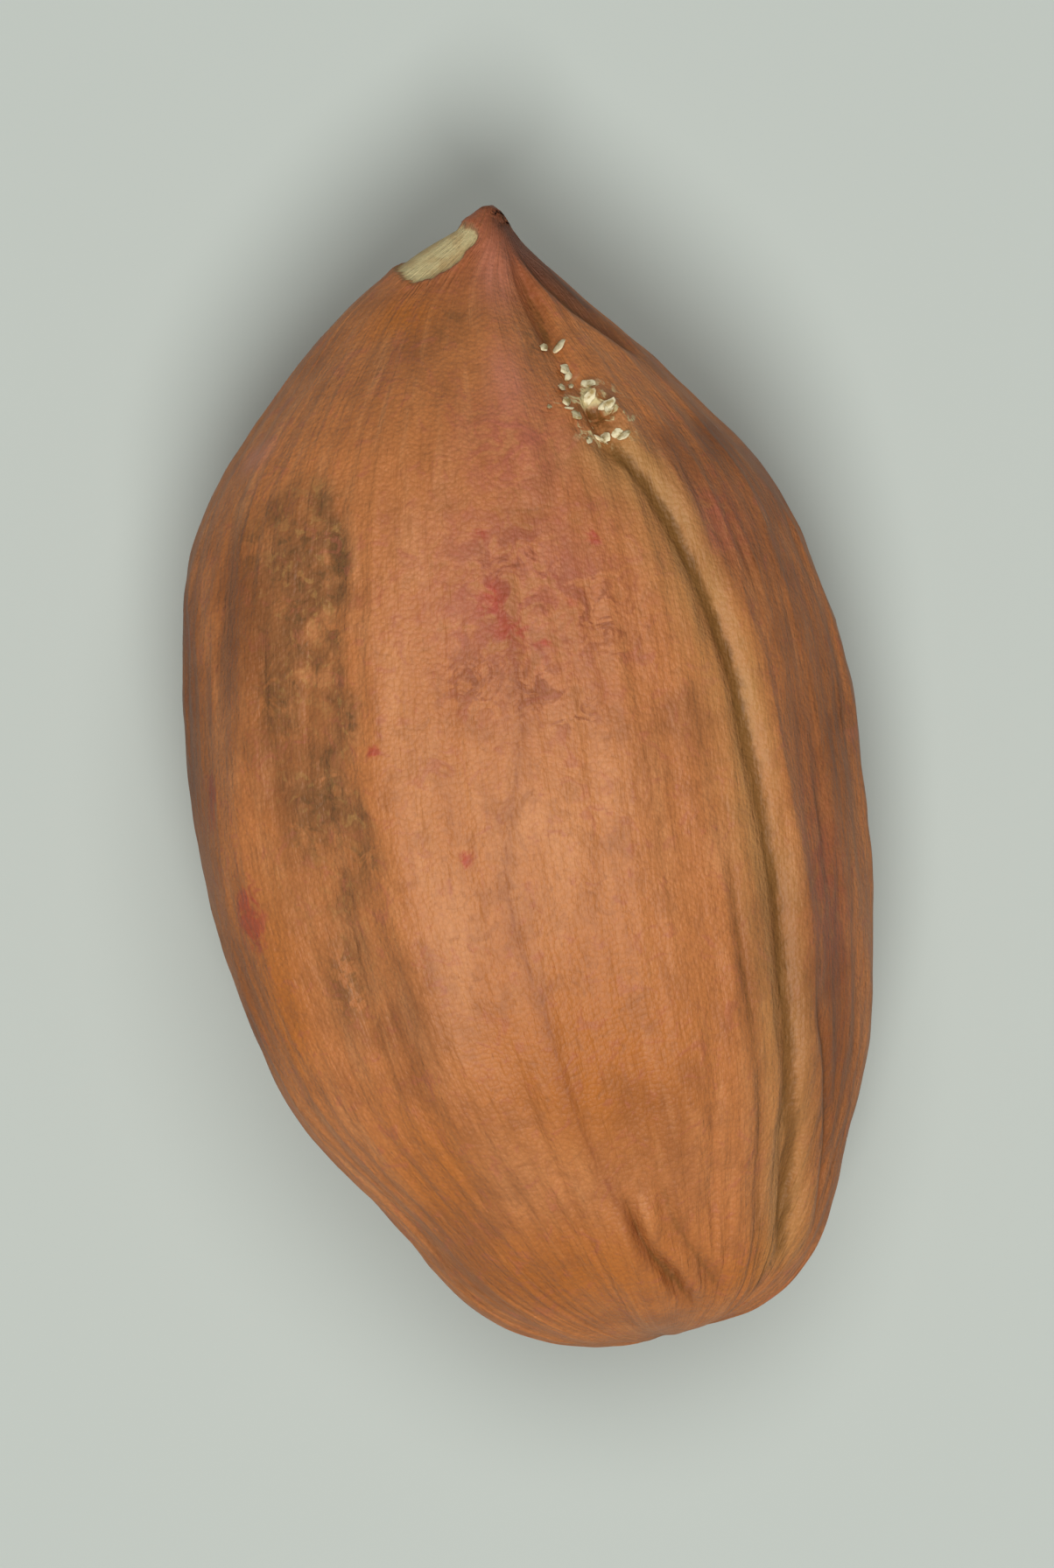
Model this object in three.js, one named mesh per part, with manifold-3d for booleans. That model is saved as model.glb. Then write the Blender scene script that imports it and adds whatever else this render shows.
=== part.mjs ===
// A shelled peanut: one whole kernel in its papery red-brown skin, lying on its side.
// Millimetres, +Z up. The kernel's length lies along Y with the pointed beak at +Y, and the
// origin is on the surface that it rests on, under the middle of its box.

import * as THREE from "three";
import { mergeVertices } from "three/addons/utils/BufferGeometryUtils.js";
import Module from "manifold-3d";

// Size of the whole kernel
const kernelLength = 14.7;
const kernelWidth = 8.7;
const kernelHeight = 8.15;

// The beak, which holds the root: the egg is pinched between these two polar angles, and the
// root's ridge ends in a small spur at the tip
const beakPinch = 0.56;
const beakTipAngle = 8;
const beakShoulderAngle = 63;
const beakRidge = { bearing: 77, rise: 0.07, halfWidth: 0.27, from: 0.1, to: 4.0, fade: 1.0 };
const spur = { rise: 0.17, reach: 0.22 };
const beakHook = { aside: 0.5, fade: 0.45 };
const beakLift = { up: 0.6, fade: 1.3 };
const shoulderLean = { aside: -0.16, at: 2.6, reach: 1.5 };

// The blunt end is squarer than an egg's, with a slight waist before it, and leans to the seam's side
const bluntPower = 0.86;
const bluntWaist = { depth: 0.06, at: 0.76, reach: 0.14 };
const bluntLean = { aside: 0.98, from: 7.0 };
const bluntDroop = { down: 0.25, from: 8.0 };

// The seam from the scar to the blunt end: a narrow furrow with a lip on its right and hardly any
// on its left. Its bearing is the angle round the kernel, in degrees from +X towards +Z, at
// distances from the beak's tip.
const seamStations = [0, 1.0, 2.9, 3.5, 4.4, 6.2, 8.5, 11.0, 12.6, 13.8, kernelLength];
const seamBearings = [50, 54, 58, 54, 51, 46.8, 43.8, 42.4, 38, 30, 22];
const seam = { from: 3.0, to: 14.1, fade: 0.8, furrowDepth: 0.13, furrowHalfWidth: 0.19, clearOfRibs: 0.8 };
const rightLip = { rise: 0.05, aside: -0.44, halfWidth: 0.22 };
const leftLip = { rise: 0.01, aside: 0.6, halfWidth: 0.4 };
const beakCrease = { depth: 0.09, halfWidth: 0.2, from: 0.5, to: 2.7, fade: 0.6 };

// The scar where the kernel hung in its pod, at the head of the seam
const scar = { at: 2.9, pitDepth: 0.16, pitRadius: 0.24, rimRise: 0.08, rimRadius: 0.42, rimWidth: 0.13 };

// Broad ribs and hollows that the photograph shows, then those of the far side and finer ones all
// round. They fade in over ribFade and flatten out where the kernel narrows to its ends.
const ribFade = 2.2;
const ribOpening = { none: 0.6, full: 3.0 };
const shownRibs = [
  { bearing: 111, rise: 0.11, halfWidth: 0.42, from: 3.0, to: 12.6, sway: 2.5 },
  { bearing: 127, rise: -0.13, halfWidth: 0.62, from: 2.6, to: 11.6, sway: 2.0 },
  { bearing: 143, rise: 0.1, halfWidth: 0.4, from: 3.4, to: 13.2, sway: 3.0 },
  { bearing: 84, rise: -0.05, halfWidth: 0.5, from: 7.6, to: 14.0, sway: 4.0 },
  { bearing: 66, rise: 0.06, halfWidth: 0.45, from: 5.2, to: 13.6, sway: 3.0 },
  { bearing: 28, rise: -0.07, halfWidth: 0.4, from: 3.6, to: 13.4, sway: 2.0 },
  { bearing: 10, rise: 0.08, halfWidth: 0.4, from: 3.0, to: 13.0, sway: 3.0 },
];
const hiddenRibs = {
  count: 11,
  first: 162,
  last: 352,
  scatter: 3,
  rise: [0.05, 0.13],
  halfWidth: [0.24, 0.45],
  from: [2.4, 4.0],
  to: [12.4, 13.8],
  sway: 3.5,
};
const fineRibs = {
  count: 19,
  rise: 0.028,
  halfWidth: 0.2,
  from: [3.0, 7.0],
  length: [5.0, 9.0],
  sway: 5.0,
};
const ribSeed = 41;

// Dents and swells that keep the egg from looking turned on a lathe
const swell = { rise: 0.085, lobes: 3, turn: 35 };
const dents = [
  { along: 4.6, bearing: 92, depth: 0.07, radius: 1.5 },
  { along: 10.6, bearing: 96, depth: -0.05, radius: 2.2 },
  { along: 9.0, bearing: 250, depth: 0.1, radius: 1.8 },
  { along: 5.0, bearing: 335, depth: 0.09, radius: 1.6 },
  { along: 1.1, bearing: 172, depth: -0.2, radius: 0.75 },
  { along: 0.3, bearing: 168, depth: -0.1, radius: 0.35 },
  { along: 0.9, bearing: 5, depth: -0.08, radius: 0.7 },
  { along: 4.5, bearing: 180, depth: -0.1, radius: 1.6 },
  { along: 12.4, bearing: 180, depth: 0.07, radius: 1.6 },
  { along: 14.2, bearing: 184, depth: -0.2, radius: 1.0 },
  { along: 13.2, bearing: 0, depth: -0.12, radius: 0.9 },
];

// The puckered spot at the blunt end, where the skin's veins meet
const pucker = {
  folds: 5,
  finerFolds: 8,
  sway: 1.3,
  rise: 0.035,
  radius: 1.5,
  width: 1.1,
  from: 11.5,
  full: 13.5,
};
const dimple = { depth: 0.1, radius: 0.5, reach: 1.0 };

// It rests on a small flat pressed into the underside, where the ribs fade out
const rest = { sink: 0.1, bearing: 270, fadeBearing: 34, fadeAlong: 3.6, along: 7.6 };

// Mesh: columns round the kernel, closer together at the seam, and rows from beak to blunt end
const columns = 94;
const rows = 62;
const seamCrowding = 0.42;
const crowdedBearing = 50;

const degrees = THREE.MathUtils.degToRad;
const halfLength = kernelLength / 2;
const fullTurn = 2 * Math.PI;

function bump(distance, reach) {
  return Math.exp(-((distance / reach) ** 2));
}

// 0 below the first value and 1 above the second, with a smooth rise between them
function rises(value, from, to) {
  return THREE.MathUtils.smoothstep(value, from, to);
}

// 1 between two places along the kernel, fading to 0 over a short stretch at each
function between(along, from, to, fade) {
  return rises(along, from, from + fade) * (1 - rises(along, to - fade, to));
}

// The smallest turn from one bearing to another, in radians, between -pi and pi
function turnTo(bearing, other) {
  return THREE.MathUtils.euclideanModulo(other - bearing + Math.PI, fullTurn) - Math.PI;
}

// Repeatable draws between 0 and 1, each made from the one before it
const drawStep = { times: 1664525, plus: 1013904223, within: 2 ** 32 };

function seededDraws(seed) {
  let state = seed;
  return () => {
    state = (state * drawStep.times + drawStep.plus) % drawStep.within;
    return state / drawStep.within;
  };
}

// A smooth line through the seam's bearings
const seamLine = new THREE.SplineCurve(
  seamStations.map((along, i) => new THREE.Vector2(along, degrees(seamBearings[i]))),
);
const seamSteps = 200;
const seamPoints = seamLine.getPoints(seamSteps);

function seamBearingAt(along) {
  const reached = THREE.MathUtils.clamp(along, 0, kernelLength);
  const next = Math.max(1, seamPoints.findIndex((point) => point.x >= reached));
  const [a, b] = [seamPoints[next - 1], seamPoints[next]];
  return THREE.MathUtils.mapLinear(reached, a.x, b.x, a.y, b.y);
}

// The whole list of ribs: those in the photograph, broad ones on the far side, fine ones between
function allRibs() {
  const draw = seededDraws(ribSeed);
  const spread = ([low, high]) => low + (high - low) * draw();
  const { first, last } = hiddenRibs;
  const ribs = [...shownRibs];
  for (let i = 0; i < hiddenRibs.count; i++) {
    const share = i / (hiddenRibs.count - 1);
    ribs.push({
      bearing: THREE.MathUtils.lerp(first, last, share) + hiddenRibs.scatter * (2 * draw() - 1),
      rise: spread(hiddenRibs.rise) * (i % 2 ? -1 : 1),
      halfWidth: spread(hiddenRibs.halfWidth),
      from: spread(hiddenRibs.from),
      to: spread(hiddenRibs.to),
      sway: hiddenRibs.sway,
    });
  }
  for (let i = 0; i < fineRibs.count; i++) {
    const from = spread(fineRibs.from);
    ribs.push({
      bearing: (360 * (i + draw())) / fineRibs.count,
      rise: fineRibs.rise * (draw() < 0.5 ? -1 : 1),
      halfWidth: fineRibs.halfWidth,
      from,
      to: from + spread(fineRibs.length),
      sway: fineRibs.sway,
    });
  }
  return ribs.map((rib) => ({ ...rib, phase: fullTurn * draw() }));
}
const ribs = allRibs();

// Share of the full girth that a ring has, which narrows to the beak and stays broad to the blunt end
function girthShare(polar) {
  const pastMiddle = -Math.cos(polar);
  if (pastMiddle > 0) {
    const waist = bluntWaist.depth * bump(pastMiddle - bluntWaist.at, bluntWaist.reach);
    return Math.sin(polar) ** bluntPower * (1 - waist);
  }
  const open = (polar - degrees(beakTipAngle)) / degrees(beakShoulderAngle - beakTipAngle);
  const pinch = beakPinch * (0.5 + 0.5 * Math.cos(Math.PI * THREE.MathUtils.clamp(open, 0, 1)));
  return Math.sin(polar) * (1 - pinch);
}

// How far the middle of a ring lies aside and up from the kernel's straight axis
function ringCentre(along) {
  const pastMiddle = Math.max(0, (along - bluntLean.from) / (kernelLength - bluntLean.from));
  const pastBelly = Math.max(0, (along - bluntDroop.from) / (kernelLength - bluntDroop.from));
  return {
    aside:
      bluntLean.aside * pastMiddle ** 2 +
      beakHook.aside * Math.exp(-along / beakHook.fade) +
      shoulderLean.aside * bump(along - shoulderLean.at, shoulderLean.reach),
    up: beakLift.up * Math.exp(-along / beakLift.fade) - bluntDroop.down * pastBelly ** 2,
  };
}

function beakRelief(along, bearing, radius) {
  const aside = turnTo(degrees(beakRidge.bearing), bearing) * radius;
  const shown = between(along, beakRidge.from, beakRidge.to, beakRidge.fade);
  return (
    beakRidge.rise * shown * bump(aside, beakRidge.halfWidth) +
    spur.rise * bump(radius, spur.reach) * bump(along, spur.reach)
  );
}

function seamRelief(along, bearing, radius) {
  const aside = turnTo(seamBearingAt(along), bearing) * radius;
  const shown = between(along, seam.from, seam.to, seam.fade);
  const crease = between(along, beakCrease.from, beakCrease.to, beakCrease.fade);
  return (
    shown * rightLip.rise * bump(aside - rightLip.aside, rightLip.halfWidth) +
    shown * leftLip.rise * bump(aside - leftLip.aside, leftLip.halfWidth) -
    shown * seam.furrowDepth * bump(aside, seam.furrowHalfWidth) -
    crease * beakCrease.depth * bump(aside, beakCrease.halfWidth)
  );
}

function scarRelief(along, bearing, radius) {
  const aside = turnTo(seamBearingAt(scar.at), bearing) * radius;
  const away = Math.hypot(aside, along - scar.at);
  const rim = scar.rimRise * bump(away - scar.rimRadius, scar.rimWidth);
  return rim - scar.pitDepth * bump(away, scar.pitRadius);
}

function ribRelief(along, bearing, radius) {
  const nearSeam = bump(turnTo(seamBearingAt(along), bearing) * radius, seam.clearOfRibs);
  const open = rises(radius, ribOpening.none, ribOpening.full);
  let sum = 0;
  for (const rib of ribs) {
    const sway = rib.sway * Math.sin((along / kernelLength) * fullTurn + rib.phase);
    const aside = turnTo(degrees(rib.bearing + sway), bearing) * radius;
    sum += rib.rise * bump(aside, rib.halfWidth) * between(along, rib.from, rib.to, ribFade);
  }
  return sum * open * (1 - nearSeam);
}

function bodyRelief(along, bearing, radius) {
  const belly = Math.sin((Math.PI * along) / kernelLength);
  let sum = swell.rise * belly * Math.cos(swell.lobes * bearing - degrees(swell.turn));
  for (const dent of dents) {
    const aside = turnTo(degrees(dent.bearing), bearing) * radius;
    sum -= dent.depth * bump(Math.hypot(aside, along - dent.along), dent.radius);
  }
  return sum;
}

function puckerRelief(along, bearing, radius) {
  const ring = rises(radius, 0, pucker.radius) * bump(radius - pucker.radius, pucker.width);
  const swayed = pucker.folds * bearing + pucker.sway * Math.sin(2 * bearing);
  const folds = Math.cos(swayed) + Math.cos(pucker.finerFolds * bearing);
  const atEnd = bump(radius, dimple.radius) * bump(kernelLength - along, dimple.reach);
  return pucker.rise * ring * rises(along, pucker.from, pucker.full) * folds - dimple.depth * atEnd;
}

// A point of the skin from its polar angle, 0 at the beak's tip, and its bearing round the kernel
function skinPoint(polar, bearing) {
  const along = halfLength * (1 - Math.cos(polar));
  const share = girthShare(polar);
  const radius = (share * (kernelWidth + kernelHeight)) / 4;
  const centre = ringCentre(along);
  const across = share * (kernelWidth / 2) * Math.cos(bearing);
  const height = share * (kernelHeight / 2) * Math.sin(bearing);
  const outward = new THREE.Vector3(
    across / (kernelWidth / 2) ** 2,
    Math.cos(polar) / halfLength,
    height / (kernelHeight / 2) ** 2,
  ).normalize();
  const underside =
    bump(turnTo(degrees(rest.bearing), bearing), degrees(rest.fadeBearing)) *
    bump(along - rest.along, rest.fadeAlong);
  const relief =
    beakRelief(along, bearing, radius) +
    seamRelief(along, bearing, radius) +
    scarRelief(along, bearing, radius) +
    (1 - underside) * ribRelief(along, bearing, radius) +
    bodyRelief(along, bearing, radius) +
    puckerRelief(along, bearing, radius);
  return new THREE.Vector3(centre.aside + across, halfLength - along, centre.up + height).addScaledVector(
    outward,
    relief,
  );
}

// A sphere whose poles are the beak and the blunt end, each vertex moved to its place on the skin
function skinGeometry() {
  const sphere = new THREE.SphereGeometry(1, columns, rows);
  sphere.deleteAttribute("normal");
  sphere.deleteAttribute("uv");
  const geometry = mergeVertices(sphere);
  const place = geometry.getAttribute("position");
  for (let i = 0; i < place.count; i++) {
    const even = Math.atan2(place.getZ(i), place.getX(i));
    const bearing = even - seamCrowding * Math.sin(even - degrees(crowdedBearing));
    const point = skinPoint(Math.acos(THREE.MathUtils.clamp(place.getY(i), -1, 1)), bearing);
    place.setXYZ(i, point.x, point.y, point.z);
  }
  return geometry;
}

// Puts the origin on the resting surface, under the middle of the box, with the flat's depth below it
function setDown(geometry) {
  geometry.computeBoundingBox();
  const box = geometry.boundingBox;
  const middle = box.getCenter(new THREE.Vector3());
  return geometry.translate(-middle.x, -middle.y, -box.min.z - rest.sink);
}

const wasm = await Module();
wasm.setup();

function toSolid(geometry) {
  const plain = geometry.clone();
  plain.deleteAttribute("normal");
  plain.deleteAttribute("uv");
  const merged = mergeVertices(plain);
  return new wasm.Manifold(
    new wasm.Mesh({
      numProp: 3,
      vertProperties: merged.getAttribute("position").array,
      triVerts: new Uint32Array(merged.index.array),
    }),
  );
}

function toGeometry(solid) {
  const mesh = solid.getMesh();
  const geometry = new THREE.BufferGeometry();
  geometry.setAttribute("position", new THREE.BufferAttribute(mesh.vertProperties, 3));
  geometry.setIndex(new THREE.BufferAttribute(mesh.triVerts, 1));
  geometry.computeVertexNormals();
  return geometry;
}

// Takes away what lies below the resting surface, which leaves the small flat
function withRestingFlat(geometry) {
  const side = 2 * kernelLength;
  const below = new THREE.BoxGeometry(side, side, side).translate(0, 0, -side / 2);
  return toGeometry(toSolid(geometry).subtract(toSolid(below)));
}

const skin = new THREE.MeshStandardMaterial({ color: 0xb8754c, roughness: 0.62, metalness: 0 });

const kernel = new THREE.Mesh(withRestingFlat(setDown(skinGeometry())), skin);
kernel.name = "kernel";

const peanut = new THREE.Group();
peanut.add(kernel);

export default peanut;
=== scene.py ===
# A shelled peanut kernel in its dry papery skin, lying on its side, dressed over the part's solid.
# Metres, in the part's own frame: +Y is the beak's end, +Z is up and it rests on z = 0.
# Places and sizes in the dictionaries are real millimetres.

import math
import random

import bpy
import numpy as np
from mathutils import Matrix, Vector, noise


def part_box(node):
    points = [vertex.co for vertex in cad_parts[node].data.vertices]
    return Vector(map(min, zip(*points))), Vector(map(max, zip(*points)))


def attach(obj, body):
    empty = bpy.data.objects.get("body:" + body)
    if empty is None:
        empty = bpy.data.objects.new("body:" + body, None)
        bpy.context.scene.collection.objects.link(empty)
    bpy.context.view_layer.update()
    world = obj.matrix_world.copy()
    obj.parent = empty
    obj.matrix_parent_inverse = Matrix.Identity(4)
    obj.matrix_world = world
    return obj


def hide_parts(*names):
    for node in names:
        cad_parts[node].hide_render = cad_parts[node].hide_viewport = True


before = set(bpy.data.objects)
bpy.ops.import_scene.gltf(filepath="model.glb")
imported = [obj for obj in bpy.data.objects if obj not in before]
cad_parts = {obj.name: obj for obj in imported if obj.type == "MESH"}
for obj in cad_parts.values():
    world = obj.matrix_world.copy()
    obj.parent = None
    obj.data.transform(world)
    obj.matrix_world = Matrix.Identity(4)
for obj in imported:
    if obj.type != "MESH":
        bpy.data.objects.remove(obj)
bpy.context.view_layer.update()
mm = 0.001
print("frame loaded")


# Small tools

def colour(hexValue):
    parts = [int(hexValue[i:i + 2], 16) / 255 for i in (1, 3, 5)]
    linear = [c / 12.92 if c <= 0.04045 else ((c + 0.055) / 1.055) ** 2.4 for c in parts]
    return (*linear, 1.0)


def addNode(tree, kind, inputs=None, **settings):
    node = tree.nodes.new(kind)
    for name, value in settings.items():
        setattr(node, name, value)
    for name, value in (inputs or {}).items():
        socket = node.inputs[name]
        if isinstance(value, bpy.types.NodeSocket):
            tree.links.new(value, socket)
        else:
            socket.default_value = value
    return node


def makeActive(piece):
    bpy.ops.object.select_all(action="DESELECT")
    piece.select_set(True)
    bpy.context.view_layer.objects.active = piece


def useModifier(piece, kind, **settings):
    makeActive(piece)
    modifier = piece.modifiers.new(kind.title(), kind)
    for name, value in settings.items():
        setattr(modifier, name, value)
    bpy.ops.object.modifier_apply(modifier=modifier.name)


def selectPoints(piece, chosen):
    # leaves the piece in edit mode with only the chosen points selected
    makeActive(piece)
    bpy.ops.object.mode_set(mode="EDIT")
    bpy.ops.mesh.select_mode(type="VERT")
    bpy.ops.mesh.select_all(action="DESELECT")
    bpy.ops.object.mode_set(mode="OBJECT")
    piece.data.vertices.foreach_set("select", chosen)
    bpy.ops.object.mode_set(mode="EDIT")


def placesOf(piece):
    flat = np.empty(len(piece.data.vertices) * 3)
    piece.data.vertices.foreach_get("co", flat)
    return flat.reshape(-1, 3) / mm


def bump(away, reach):
    # 1 in the middle, about a third at the reach, and fading to nothing beyond it
    return np.exp(-((away / reach) ** 2))


def rises(value, start, end):
    # from 0 at the start to 1 at the end, which may also be the lower of the two
    share = np.clip((value - start) / (end - start), 0, 1)
    return share * share * (3 - 2 * share)


def turnBetween(angle, other):
    return (other - angle + math.pi) % (2 * math.pi) - math.pi


def noiseAt(points, seed):
    # smooth noise from -1 to 1, in blobs about one unit wide
    shift = seed * 7.31
    return np.array([noise.noise(point) for point in (points + shift).tolist()])


def smoothRoute(points, steps=12):
    # a smooth line through all the points, as an array of places
    ends = [2 * points[0] - points[1], *points, 2 * points[-1] - points[-2]]
    route = []
    for a, b, c, d in zip(ends, ends[1:], ends[2:], ends[3:]):
        for step in range(steps):
            t = step / steps
            route.append(0.5 * (2 * b + (c - a) * t + (2 * a - 5 * b + 4 * c - d) * t ** 2
                                + (3 * b - a - 3 * c + d) * t ** 3))
    return np.array([*route, points[-1]])


def nearRoute(points, route):
    # how far each point is from the route, on its right or left as seen from above, and how far along
    away = np.full(len(points), np.inf)
    side = np.ones(len(points))
    reached = np.zeros(len(points))
    run = 0.0
    for start, end in zip(route, route[1:]):
        step = end - start
        length = np.linalg.norm(step)
        share = np.clip((points - start) @ step / length ** 2, 0, 1)
        offset = points - start - share[:, None] * step
        distance = np.linalg.norm(offset, axis=1)
        closer = distance < away
        away[closer] = distance[closer]
        side[closer] = np.sign(offset[:, 1] * step[0] - offset[:, 0] * step[1])[closer]
        reached[closer] = run + share[closer] * length
        run += length
    return away, side, reached


def shownAlong(run, fadeIn, fadeOut):
    # a line that fades in at its start and out at its end
    return rises(run, 0, fadeIn) * (1 - rises(run, run.max() - fadeOut, run.max()))


# The smooth form: the solid's own surface with its facets rounded off

form = {
    "mergeWithin": 0.002,
    "quadAngle": 30,            # degrees between two triangles that become a quad
    "quadSkew": 60,
    "subdivisions": 2,
}


def smoothForm():
    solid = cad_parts["kernel"]
    formCopy = bpy.data.objects.new("smoothForm", solid.data.copy())
    bpy.context.scene.collection.objects.link(formCopy)
    makeActive(formCopy)
    bpy.ops.object.mode_set(mode="EDIT")
    bpy.ops.mesh.select_all(action="SELECT")
    bpy.ops.mesh.remove_doubles(threshold=form["mergeWithin"] * mm)
    bpy.ops.mesh.tris_convert_to_quads(
        face_threshold=math.radians(form["quadAngle"]), shape_threshold=math.radians(form["quadSkew"]))
    bpy.ops.object.mode_set(mode="OBJECT")
    useModifier(formCopy, "SUBSURF", levels=form["subdivisions"], render_levels=form["subdivisions"])
    return formCopy


# The skin: a fine sphere with its poles at the beak and the blunt end, leaned to the kernel's bend
# and shrunk on to the smooth form

skin = {
    "columns": 114,
    "rings": 54,
    "subdivisions": 2,
    "beakPoint": (0.4, 0.0, 0.58),      # how far the beak's tip lies off the middle
    "beakReach": 2.6,
    "bluntPoint": (0.98, 0.0, -0.25),   # and the middle of the blunt end
    "bluntReach": 8.0,
    "relax": 4,
    "relaxBy": 0.5,
}


def dragPole(piece, chosen, move, reach):
    selectPoints(piece, chosen)
    bpy.ops.transform.translate(
        value=Vector(move) * mm, use_proportional_edit=True,
        proportional_edit_falloff="SMOOTH", proportional_size=reach * mm)
    bpy.ops.object.mode_set(mode="OBJECT")


def modelSkin(formCopy):
    low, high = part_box("kernel")
    middle = (low + high) / 2
    bpy.ops.object.select_all(action="DESELECT")
    bpy.ops.mesh.primitive_uv_sphere_add(
        segments=skin["columns"], ring_count=skin["rings"], radius=0.5,
        location=middle, rotation=(math.radians(-90), 0, 0))
    kernelSkin = bpy.context.object
    kernelSkin.name = "kernel_skin"
    bpy.ops.object.transform_apply(location=False, rotation=True, scale=False)
    useModifier(kernelSkin, "SUBSURF", levels=skin["subdivisions"], render_levels=skin["subdivisions"])

    # each point's bearing round the long axis, and its angle from the beak's pole
    onSphere = placesOf(kernelSkin)
    onSphere /= np.linalg.norm(onSphere, axis=1)[:, None]
    bearing = np.arctan2(onSphere[:, 2], onSphere[:, 0])
    polar = np.arccos(np.clip(onSphere[:, 1], -1, 1))
    kernelSkin.scale = high - low
    bpy.ops.object.transform_apply(location=True, rotation=True, scale=True)

    # the pole vertices drag their ends of the egg along
    atPole = 1e-3
    dragPole(kernelSkin, polar < atPole, skin["beakPoint"], skin["beakReach"])
    dragPole(kernelSkin, polar > math.pi - atPole, skin["bluntPoint"], skin["bluntReach"])
    useModifier(kernelSkin, "SHRINKWRAP", target=formCopy, wrap_method="PROJECT",
                use_negative_direction=True, use_positive_direction=True)
    useModifier(kernelSkin, "SMOOTH", factor=skin["relaxBy"], iterations=skin["relax"])
    useModifier(kernelSkin, "SHRINKWRAP", target=formCopy, wrap_method="NEAREST_SURFACEPOINT")
    return kernelSkin, bearing, polar


formCopy = smoothForm()
kernelSkin, bearing, polar = modelSkin(formCopy)
print("skin shaped:", len(kernelSkin.data.vertices), "points")


# Where each point of the skin lies, in the ways that the relief and the colours need

regions = {
    "openAway": (0.5, 2.0),         # from the axis: the skin tightens near both of its ends
    "openAlong": (1.5, 5.0),        # from the beak's tip
    "beakOpen": 0.3,                # what is left of the wrinkles on the beak
    "under": (-0.6, 1.2),           # below the axis
    "restHalfSize": (1.6, 3.0),     # the flat that the kernel rests on
    "restHeight": (0.8, 0.2),
    "flowStretch": 1.15,
}


def ringMiddles(points, polar):
    # the middle of each ring of the skin, which follows the kernel's bent axis
    edges = np.linspace(0, math.pi, 2 * skin["rings"] + 1)
    ring = np.clip(np.digitize(polar, edges) - 1, 0, len(edges) - 2)
    count = np.maximum(np.bincount(ring, minlength=len(edges) - 1), 1)
    at = np.bincount(ring, polar, len(edges) - 1) / count
    middles = [np.bincount(ring, points[:, i], len(edges) - 1) / count for i in range(3)]
    return np.stack([np.interp(polar, at, middle) for middle in middles], axis=1)


def dropOn(target, x, y, fromHeight=20):
    # the place on top of the target below a point seen from above
    hit, place, normal, face = target.ray_cast(Vector((x, y, fromHeight)) * mm, Vector((0, 0, -1)))
    if not hit:
        raise ValueError(f"nothing below {x}, {y}")
    return np.array(place) / mm


def routeOnTop(points):
    return smoothRoute([dropOn(formCopy, x, y) for x, y in points])


def fromAbove(middle, halfSize):
    # how far each point of the skin is from an oval's middle seen from above, in half sizes
    return np.hypot(*((places[:, :2] - middle) / halfSize).T)


places = placesOf(kernelSkin)
along = places[:, 1].max() - places[:, 1]
fromBlunt = along.max() - along
offAxis = places - ringMiddles(places, polar)
radius = np.hypot(offAxis[:, 0], offAxis[:, 2])
girth = radius.max()
openSkin = rises(radius, *regions["openAway"]) * (
    regions["beakOpen"] + (1 - regions["beakOpen"]) * rises(along, *regions["openAlong"]))
under = rises(-offAxis[:, 2], *regions["under"])
onRest = bump(fromAbove((0, 0), regions["restHalfSize"]), 1.0) * rises(places[:, 2], *regions["restHeight"])

# A place on the skin with its fibres straightened out, so that a pattern can run along the kernel
# and still meet itself round the back
flow = np.stack([np.cos(bearing) * girth, np.sin(bearing) * girth, along * regions["flowStretch"]], axis=1)


def streaks(across, lengthwise, seed):
    return noiseAt(flow / (across, across, lengthwise), seed)


def fray(layers):
    # noise of several sizes added up, each as (how much, size, seed)
    return sum(much * noiseAt(places / size, seed) for much, size, seed in layers)


# Relief. Each form is painted as a weight from -1 to 1, then the skin is raised or pressed in by it.

def raiseSkin(name, weights, height):
    faintest = 0.002
    for sign in (1, -1):
        part = np.clip(sign * weights, 0, 1)
        chosen = np.nonzero(part > faintest)[0].tolist()
        if not chosen:
            continue
        group = kernelSkin.vertex_groups.new(name=name)
        for index in chosen:
            group.add([index], float(part[index]), "REPLACE")
        useModifier(kernelSkin, "DISPLACE", vertex_group=name, strength=sign * height * mm, mid_level=0)
        kernelSkin.vertex_groups.clear()


# The seam runs from the scar to the blunt end, with a low lip on its right
seam = {
    "route": [(1.4, 4.5), (1.67, 4.0), (1.95, 3.6), (2.15, 3.2), (2.37, 2.6), (2.68, 1.5), (2.83, 0.6),
              (2.96, -1.0), (2.98, -2.0), (2.93, -4.0), (2.86, -5.0), (2.68, -6.0), (2.4, -6.9)],
    "fadeIn": 0.6,
    "fadeOut": 0.7,
    "furrowDepth": 0.03,
    "furrowHalfWidth": 0.14,
    "lipHeight": 0.015,
    "lipAway": 0.36,
    "lipHalfWidth": 0.2,
    "lower": (3.0, 6.0),            # along it: where its colours become those of its lower part
}
seamAway, seamSide, seamRun = nearRoute(places, routeOnTop(seam["route"]))
seamShown = shownAlong(seamRun, seam["fadeIn"], seam["fadeOut"])
raiseSkin("furrow", bump(seamAway, seam["furrowHalfWidth"]) * seamShown, -seam["furrowDepth"])
lip = bump(seamAway * seamSide - seam["lipAway"], seam["lipHalfWidth"])
raiseSkin("lip", lip * seamShown, seam["lipHeight"])

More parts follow.
